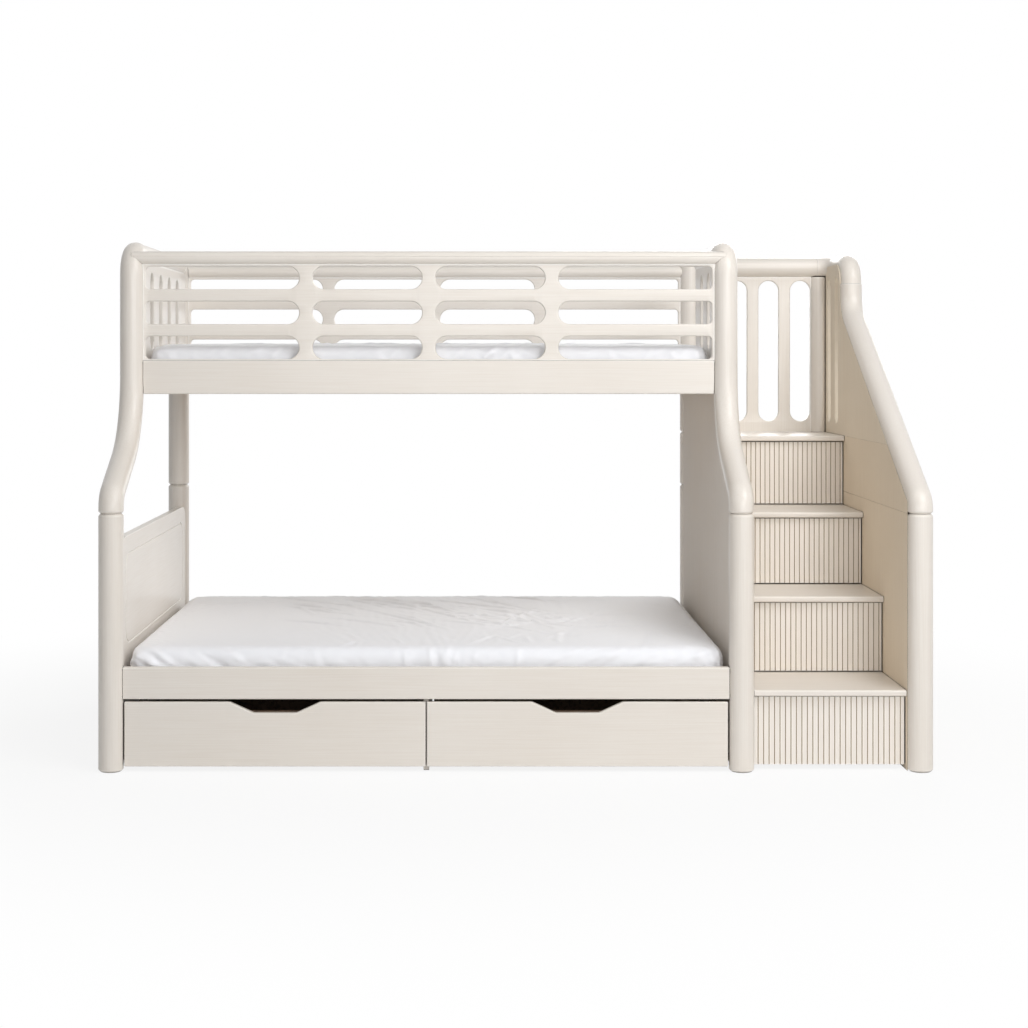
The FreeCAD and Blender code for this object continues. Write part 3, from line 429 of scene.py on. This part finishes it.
def soft_block(name, low, high):
    """A block with round corners and edges between two corners, in even cells."""
    bm = bmesh.new()
    bmesh.ops.create_cube(bm, size=1.0)
    bmesh.ops.scale(bm, vec=high - low, verts=bm.verts)
    upright = [e for e in bm.edges if abs(e.verts[0].co.z - e.verts[1].co.z) > MM]
    bmesh.ops.bevel(bm, geom=upright, offset=PAD_CORNER, offset_type="OFFSET", segments=8, profile=0.5,
                    affect="EDGES", material=-1)
    rims = [e for e in bm.edges if len({f.normal.z > 0.5 for f in e.link_faces}) == 2
            or len({f.normal.z < -0.5 for f in e.link_faces}) == 2]
    bmesh.ops.bevel(bm, geom=rims, offset=PAD_EDGE, offset_type="OFFSET", segments=4, profile=0.5,
                    affect="EDGES", material=-1)
    bmesh.ops.translate(bm, vec=(low + high) / 2, verts=bm.verts)
    piece = object_from(bm, name)
    remesh = piece.modifiers.new("cells", "REMESH")
    remesh.mode = "VOXEL"
    remesh.voxel_size = PAD_CELL
    even = piece.modifiers.new("even", "SMOOTH")
    even.iterations = 2
    settle(piece)
    return piece


def step_cloth(frames):
    """Run every live simulation from the first frame on."""
    for number in range(1, frames + 1):
        bpy.context.scene.frame_set(number)


def swell(piece, cap):
    """Fill a soft block with pressure, and let no point move further than the cap."""
    before = [v.co.copy() for v in piece.data.vertices]
    floor = min(v.z for v in before)
    cloth = piece.modifiers.new("fill", "CLOTH")
    cloth.settings.use_pressure = True
    cloth.settings.uniform_pressure_force = FILL_PRESSURE
    cloth.settings.effector_weights.gravity = 0.0
    step_cloth(FILL_FRAMES)
    settle(piece)
    for vertex, old in zip(piece.data.vertices, before):
        move = vertex.co - old
        if move.length > cap:
            vertex.co = old + move.normalized() * cap
        vertex.co.z = max(vertex.co.z, floor)


def mattress(node):
    """The padded core of one bed, inside the space that its CAD solid holds."""
    low, high = (Vector(corner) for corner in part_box(node))
    low += Vector((-PAD_END_PROUD, PAD_MARGIN, PAD_LIFT))
    high -= Vector((-PAD_END_PROUD, PAD_MARGIN, PAD_MARGIN + PAD_SWELL))
    piece = soft_block(f"{node}_core", low, high)
    swell(piece, PAD_SWELL)
    piece.data.polygons.foreach_set("use_smooth", [True] * len(piece.data.polygons))
    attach(piece, "bed_frame")
    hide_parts(node)
    return piece


cores = {node: mattress(node) for node in ("lower_mattress", "upper_mattress")}
for core in cores.values():
    print(core.name, len(core.data.vertices), "points")

# %% [markdown]
# ## Fitted sheets
# A white fitted sheet covers each mattress. It is cut a little larger than the mattress, its
# sides hang down to an elastic hem under the edge, and the spare cloth gathers into small
# wrinkles. The sheet starts as a skin just off the mattress. The hem is pinned, the cloth is
# told to grow by two percent, and gravity and the mattress do the rest.

# %% Sheets over the mattresses
SKIN = 3 * MM
HEM_TUCK = 90 * MM
SHEET_GROWTH = 0.02
SHEET_CELL = 13 * MM
SKIN_RIPPLE = 0.6 * MM
RIPPLES_PER_METRE = 9
HEM_HEIGHT = 4 * MM
TOUCH_GAP = 2 * MM
DRAPE_FRAMES = 26


def sheet_over(core, name):
    """A skin over a mattress that ends in a hem below it."""
    low = Vector([min(v.co[n] for v in core.data.vertices) for n in range(3)])
    high = Vector([max(v.co[n] for v in core.data.vertices) for n in range(3)])
    piece = bpy.data.objects.new(name, core.data.copy())
    bpy.context.collection.objects.link(piece)
    remesh = piece.modifiers.new("cells", "REMESH")
    remesh.mode = "VOXEL"
    remesh.voxel_size = SHEET_CELL
    even = piece.modifiers.new("even", "SMOOTH")
    even.iterations = 2
    settle(piece)
    bm = bmesh.new()
    bm.from_mesh(piece.data)
    bm.normal_update()
    inside = [f for f in bm.faces if f.normal.z < -0.6
              and low.x + HEM_TUCK < f.calc_center_median().x < high.x - HEM_TUCK
              and low.y + HEM_TUCK < f.calc_center_median().y < high.y - HEM_TUCK]
    bmesh.ops.delete(bm, geom=inside, context="FACES")
    for vertex in bm.verts:
        lift = noise.noise(vertex.co * RIPPLES_PER_METRE) * SKIN_RIPPLE
        vertex.co += vertex.normal * (SKIN + lift)
        vertex.co.z = max(vertex.co.z, low.z - MM)
    bm.to_mesh(piece.data)
    bm.free()
    return piece, low.z


def drape(piece, core, floor):
    """Pin the hem, let the cloth grow and fall onto its mattress."""
    hem = piece.vertex_groups.new(name="hem")
    hem.add([v.index for v in piece.data.vertices if v.co.z < floor + HEM_HEIGHT], 1.0, "REPLACE")
    core.modifiers.new("touch", "COLLISION")
    core.collision.thickness_outer = TOUCH_GAP
    cloth = piece.modifiers.new("drape", "CLOTH")
    cloth.settings.quality = 6
    cloth.settings.mass = 0.15
    cloth.settings.tension_stiffness = 20
    cloth.settings.compression_stiffness = 20
    cloth.settings.shear_stiffness = 8
    cloth.settings.bending_stiffness = 0.03
    cloth.settings.shrink_min = -SHEET_GROWTH
    cloth.settings.vertex_group_mass = "hem"
    cloth.collision_settings.distance_min = TOUCH_GAP
    step_cloth(DRAPE_FRAMES)
    settle(piece)
    core.modifiers.clear()
    piece.vertex_groups.clear()


def fitted_sheet(node, name):
    """The sheet of one bed, with its size before it was fitted."""
    core = cores[node]
    piece, floor = sheet_over(core, name)
    drape(piece, core, floor)
    finer = piece.modifiers.new("finer", "SUBSURF")
    finer.levels = finer.render_levels = 1
    settle(piece)
    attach(piece, "bed_frame")
    return piece


lower_sheet = fitted_sheet("lower_mattress", "lower_fitted_sheet")
upper_sheet = fitted_sheet("upper_mattress", "upper_fitted_sheet")
sheets = [lower_sheet, upper_sheet]

# %% [markdown]
# ## Creases and gathers
# The drape gives the sheet its body, but its cells are too wide for the fine creases that a
# cotton sheet keeps after it is pulled straight. So creases are pressed in afterwards, as with a
# sculpting brush: each is a tapering ridge with a shallow trough beside it. On the lower bed they
# fan out over the middle of the top from one point near the front, where the cloth was tugged.
# The elastic in the hem gathers the ends into small upright ripples.

# %% Press creases into a sheet
def cloth_points(piece):
    """The points and normals of a cloth, as arrays."""
    count = len(piece.data.vertices)
    points = np.empty(count * 3)
    normals = np.empty(count * 3)
    piece.data.vertices.foreach_get("co", points)
    piece.data.vertex_normals.foreach_get("vector", normals)
    return points.reshape(count, 3), normals.reshape(count, 3)


def crease(points, start, end, facing, width, bow):
    """How much of one bowed crease from start to end each point takes; facing is the cloth's normal."""
    start = np.array(start)
    run = np.array(end) - start
    length = np.linalg.norm(run)
    along = run / length
    across = np.cross(np.array(facing), along)
    offset = points - start
    share = np.clip(offset @ along / length, 0, 1)
    bend = bow * length * np.sin(np.pi * share)
    aside = (offset @ across - bend) / width
    away = (offset @ np.array(facing)) / (3 * width)
    beyond = (offset @ along / length - share) * length / width
    ridge = np.exp(-aside ** 2) - 0.4 * np.exp(-((aside + 1.9) / 1.3) ** 2)
    return ridge * np.sin(np.pi * (0.04 + 0.92 * share)) * np.exp(-away ** 2 - beyond ** 2)


def fan_of_creases(points, draw, count, middle, spread, angles, lengths, facing, axes, height, widths):
    """Creases at random places round a middle, at angles in a plane given by two axes."""
    rise = np.zeros(len(points))
    first, second = (np.array(axis) for axis in axes)
    for _ in range(count):
        place = (np.array(middle) + first * draw.uniform(-1, 1) * spread[0]
                 + second * draw.uniform(-1, 1) * spread[1])
        angle = math.radians(draw.uniform(*angles))
        half = (first * math.cos(angle) + second * math.sin(angle)) * draw.uniform(*lengths) / 2
        width = draw.uniform(*widths) * MM
        rise += crease(points, place - half, place + half, facing, width, draw.uniform(-0.05, 0.05)) \
            * height * draw.uniform(0.35, 1.0)
    return rise


UP, FRONT = (0.0, 0.0, 1.0), (0.0, -1.0, 0.0)
ACROSS_TOP = ((1.0, 0.0, 0.0), (0.0, 1.0, 0.0))
ACROSS_FACE = ((1.0, 0.0, 0.0), (0.0, 0.0, 1.0))
print("creases go up to", len(lower_sheet.data.vertices), "points")

# %% Creases of both beds
GATHER_LENGTH = 46 * MM
GATHER_DEPTH = 3.4 * MM
CORNER_REACH = 110 * MM
WANDER = 2.2
WANDERS_PER_METRE = 7
FACE_LIFT = 25 * MM
CLEARANCE = 2 * MM
NEIGHBOURS = {
    "lower_mattress": ("headboard", "stair_left_panel", "lower_front_rail", "lower_back_rail"),
    "upper_mattress": ("upper_left_rail", "upper_right_rail", "upper_front_rail", "upper_back_rail"),
}


def gathers(points, low, high):
    """Ripples that an elastic hem draws along the ends and round the corners of a sheet."""
    inside = np.minimum(points[:, 0] - low[0], high[0] - points[:, 0])
    at_end = np.exp(-np.maximum(inside, 0) / CORNER_REACH)
    height = np.clip((high[2] - points[:, 2]) / (high[2] - low[2]), 0, 1)
    wander = np.array([noise.noise(Vector(p) * WANDERS_PER_METRE) for p in points]) * WANDER
    wave = np.sin(2 * np.pi * (points[:, 1] + points[:, 0]) / GATHER_LENGTH + wander)
    return wave * GATHER_DEPTH * at_end * (0.3 + 0.7 * np.sqrt(height))


def keep_clear(points, node):
    """Hold the cloth off the boards round it, below the tops of the front and back rails."""
    left, right, front, back = (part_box(name) for name in NEIGHBOURS[node])
    points[:, 0] = np.clip(points[:, 0], left[1][0] + CLEARANCE, right[0][0] - CLEARANCE)
    below = points[:, 2] < front[1][2] + CLEARANCE
    points[below, 1] = np.clip(points[below, 1], front[1][1] + CLEARANCE, back[0][1] - CLEARANCE)


def press(piece, node, families, seed):
    """Press families of creases and the hem's gathers into one sheet."""
    low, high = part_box(node)
    draw = random.Random(seed)
    points, normals = cloth_points(piece)
    rise = gathers(points, low, high)
    for family in families(low, high):
        rise += fan_of_creases(points, draw, **family)
    points += normals * rise[:, None]
    keep_clear(points, node)
    piece.data.vertices.foreach_set("co", points.ravel())
    piece.data.update()
    piece.data.polygons.foreach_set("use_smooth", [True] * len(piece.data.polygons))
    print(piece.name, "creases from", round(rise.min() / MM, 1), "to", round(rise.max() / MM, 1), "mm, box",
          points.min(axis=0).round(4), points.max(axis=0).round(4))


def top_family(count, middle, spread, angles, lengths, height, widths=(5, 9)):
    """Creases on the top: places and lengths in metres, angles in degrees, widths in millimetres."""
    return dict(count=count, middle=middle, spread=spread, angles=angles, lengths=lengths, facing=UP,
                axes=ACROSS_TOP, height=height, widths=widths)


def face_family(count, middle, spread, angles, lengths, height, widths=(6, 12)):
    """Creases on the front face, in the same units."""
    return dict(count=count, middle=middle, spread=spread, angles=angles, lengths=lengths, facing=FRONT,
                axes=ACROSS_FACE, height=height, widths=widths)


def lower_creases(low, high):
    """The tugged fan on the top, folds over the front edge and slanting folds at its two ends."""
    top, front = high[2], low[1]
    face = (top + low[2]) / 2 + FACE_LIFT
    return [
        top_family(44, (-0.32, 0.16, top), (0.46, 0.36), (114, 146), (0.20, 0.70), 7.0 * MM, (6, 10)),
        top_family(22, (0.16, -0.10, top), (0.24, 0.18), (185, 255), (0.10, 0.36), 6.0 * MM, (6, 10)),
        top_family(14, (-0.10, -0.54, top), (0.45, 0.10), (60, 125), (0.08, 0.22), 4.5 * MM, (6, 10)),
        top_family(24, (0.0, 0.0, top), (0.85, 0.58), (100, 260), (0.10, 0.50), 3.0 * MM, (8, 20)),
        face_family(9, (-0.28, front, face), (0.10, 0.02), (76, 104), (0.08, 0.12), 6.5 * MM),
        face_family(14, (low[0] + 0.17, front, face), (0.14, 0.03), (140, 165), (0.10, 0.22), 7.0 * MM),
        face_family(12, (high[0] - 0.30, front, face), (0.28, 0.03), (15, 35), (0.08, 0.20), 4.5 * MM),
        face_family(14, (-0.45, front, face), (0.50, 0.03), (60, 120), (0.06, 0.11), 3.0 * MM),
    ]


def upper_creases(low, high):
    """Smaller creases all over the top, and slanting ones on the front that shows below the bars."""
    top, front = high[2], low[1]
    middle_x, middle_y = (low[0] + high[0]) / 2, (low[1] + high[1]) / 2
    face = (top + low[2]) / 2 + FACE_LIFT
    return [
        top_family(44, (middle_x, middle_y, top), (0.80, 0.36), (20, 160), (0.10, 0.40), 5.0 * MM),
        face_family(24, (middle_x, front, face), (0.88, 0.03), (20, 60), (0.08, 0.18), 4.0 * MM),
        face_family(20, (middle_x, front, face), (0.88, 0.03), (100, 165), (0.08, 0.18), 4.0 * MM),
    ]


press(lower_sheet, "lower_mattress", lower_creases, seed=11)
press(upper_sheet, "upper_mattress", upper_creases, seed=23)

# %% [markdown]
# ## White cotton sateen
# The sheet is a white cotton sateen: a fine weave with a soft sheen that brightens where the
# cloth turns away. The weave is 0.4 mm, far too fine to show, so it is drawn at 3 mm as a faint
# bump. The mattress cover below is a thicker, off-white ticking.

# %% Cotton
THREAD = 3 * MM
THREAD_DEPTH = 0.3 * MM
SLUB_SIZE = 60 * MM
COTTON_SHADE = "#D9DADF"


def woven_cotton(name, hex_colour, thread, sheen):
    """A plain weave of two crossed sets of threads."""
    material, tree = new_material(name)
    place = add(tree, "ShaderNodeTexCoord").outputs["Object"]
    threads = []
    for direction in ("X", "Y"):
        threads.append(add(tree, "ShaderNodeTexWave",
                           {"wave_type": "BANDS", "bands_direction": direction,
                            "Scale": 2 * math.pi / (20 * thread), "Distortion": 0.4},
                           {"Vector": place}).outputs["Fac"])
    weave = add(tree, "ShaderNodeMath", {"operation": "ADD"}, {0: threads[0], 1: threads[1]})
    slub = add(tree, "ShaderNodeTexNoise", {"Scale": 1 / SLUB_SIZE, "Detail": 4.0}, {"Vector": place})
    tone = add(tree, "ShaderNodeMapRange", {"To Min": 0.965, "To Max": 1.0}, {"Value": slub.outputs["Fac"]})
    colour = add(tree, "ShaderNodeMix",
                 {"data_type": "RGBA", 6: linear(COTTON_SHADE), 7: linear(hex_colour)}, {0: tone.outputs[0]})
    bump = add(tree, "ShaderNodeBump", {"Strength": 0.12, "Distance": THREAD_DEPTH},
               {"Height": weave.outputs[0]})
    surface = add(tree, "ShaderNodeBsdfPrincipled",
                  {"Roughness": 0.62, "Sheen Weight": sheen, "Sheen Roughness": 0.35},
                  {"Base Color": colour.outputs[2], "Normal": bump.outputs[0]})
    add(tree, "ShaderNodeOutputMaterial", None, {"Surface": surface.outputs[0]})
    return material


cotton = woven_cotton("white_cotton_sateen", "#F9FAFE", THREAD, 0.5)
ticking = woven_cotton("mattress_ticking", "#E9E6DF", 2 * THREAD, 0.1)
for piece in sheets:
    piece.data.materials.clear()
    piece.data.materials.append(cotton)
for core in cores.values():
    core.data.materials.clear()
    core.data.materials.append(ticking)
print("sheets in", cotton.name, "cores in", ticking.name)

# %% [markdown]
# ## Studio
# The floor is a pale sweep that fades to plain white away from the bed and keeps a soft shadow
# under it. The key softbox stands high at the front right and leaves the faces that turn to the
# left darker. Two lower ones, at the front right and in the centre, reach in under the upper bed. A
# wide one above fills the rest, and one behind stands for the white wall that lights the top of the
# lower mattress. Floor and world show plain white to the camera, in gloss and through glass, so the
# background stays white without more light on the bed.

# %% Floor and world
FLOOR_HALF = 14.0
FLOOR_PAINT = "#F4F4F4"
FADE_START = 1.2
FADE_END = 3.2
WHITE_NEAR = 0.86
WORLD_LIGHT = 0.2


def shows_background(tree):
    """1 for the rays that show the background itself: from the camera, off gloss or through glass."""
    path = add(tree, "ShaderNodeLightPath")
    seen = add(tree, "ShaderNodeMath", {"operation": "MAXIMUM"},
               {0: path.outputs["Is Camera Ray"], 1: path.outputs["Is Glossy Ray"]})
    seen = add(tree, "ShaderNodeMath", {"operation": "MAXIMUM"},
               {0: seen.outputs[0], 1: path.outputs["Is Transmission Ray"]})
    return seen.outputs[0]


def pale_floor():
    """White paint that keeps a shadow near the bed and fades to plain white away from it."""
    material, tree = new_material("pale_floor")
    place = add(tree, "ShaderNodeTexCoord").outputs["Object"]
    reach = add(tree, "ShaderNodeVectorMath", {"operation": "LENGTH"}, {0: place})
    fade = add(tree, "ShaderNodeMapRange",
               {"interpolation_type": "SMOOTHSTEP", "From Min": FADE_START, "From Max": FADE_END,
                "To Min": WHITE_NEAR, "To Max": 1.0}, {"Value": reach.outputs["Value"]})
    share = add(tree, "ShaderNodeMath", {"operation": "MULTIPLY"},
                {0: fade.outputs[0], 1: shows_background(tree)})
    paint = add(tree, "ShaderNodeBsdfDiffuse", {"Color": linear(FLOOR_PAINT)})
    white = add(tree, "ShaderNodeEmission", {"Strength": 1.0})
    mix = add(tree, "ShaderNodeMixShader", None,
              {0: share.outputs[0], 1: paint.outputs[0], 2: white.outputs[0]})
    add(tree, "ShaderNodeOutputMaterial", None, {"Surface": mix.outputs[0]})
    return material


bm = bmesh.new()
bmesh.ops.create_grid(bm, x_segments=1, y_segments=1, size=FLOOR_HALF)
floor = object_from(bm, "floor")
floor.data.materials.append(pale_floor())

world = bpy.data.worlds.new("studio")
world.use_nodes = True
tree = world.node_tree
tree.nodes.clear()
strength = add(tree, "ShaderNodeMapRange", {"To Min": WORLD_LIGHT, "To Max": 1.0},
               {"Value": shows_background(tree)})
back = add(tree, "ShaderNodeBackground", {"Color": (1.0, 1.0, 1.0, 1.0)}, {"Strength": strength.outputs[0]})
add(tree, "ShaderNodeOutputWorld", None, {"Surface": back.outputs[0]})
bpy.context.scene.world = world
print("floor and world made")

# %% Softboxes
TARGET = Vector((0.0, 0.0, 0.8))
# name, place in metres, side in metres, power in watts
LIGHTS = [
    ("key_softbox", (2.6, -3.3, 4.3), 2.4, 100.0),
    ("front_softbox", (2.2, -5.8, 2.2), 1.8, 66.0),
    ("centre_softbox", (-0.4, -6.4, 1.8), 2.0, 44.0),
    ("top_softbox", (0.2, -1.6, 5.0), 4.0, 40.0),
    ("back_softbox", (1.5, 3.4, 2.4), 2.4, 60.0),
]
for name, place, side, power in LIGHTS:
    data = bpy.data.lights.new(name, "AREA")
    data.shape = "SQUARE"
    data.size = side
    data.energy = power
    lamp = bpy.data.objects.new(name, data)
    lamp.visible_camera = False
    lamp.location = place
    lamp.rotation_euler = (TARGET - Vector(place)).to_track_quat("-Z", "Y").to_euler()
    bpy.context.collection.objects.link(lamp)
    print(name, power, "W")

# %% [markdown]
# ## View
# The Standard view shows colours as they are written.

# %% View
bpy.context.scene.view_settings.view_transform = "Standard"
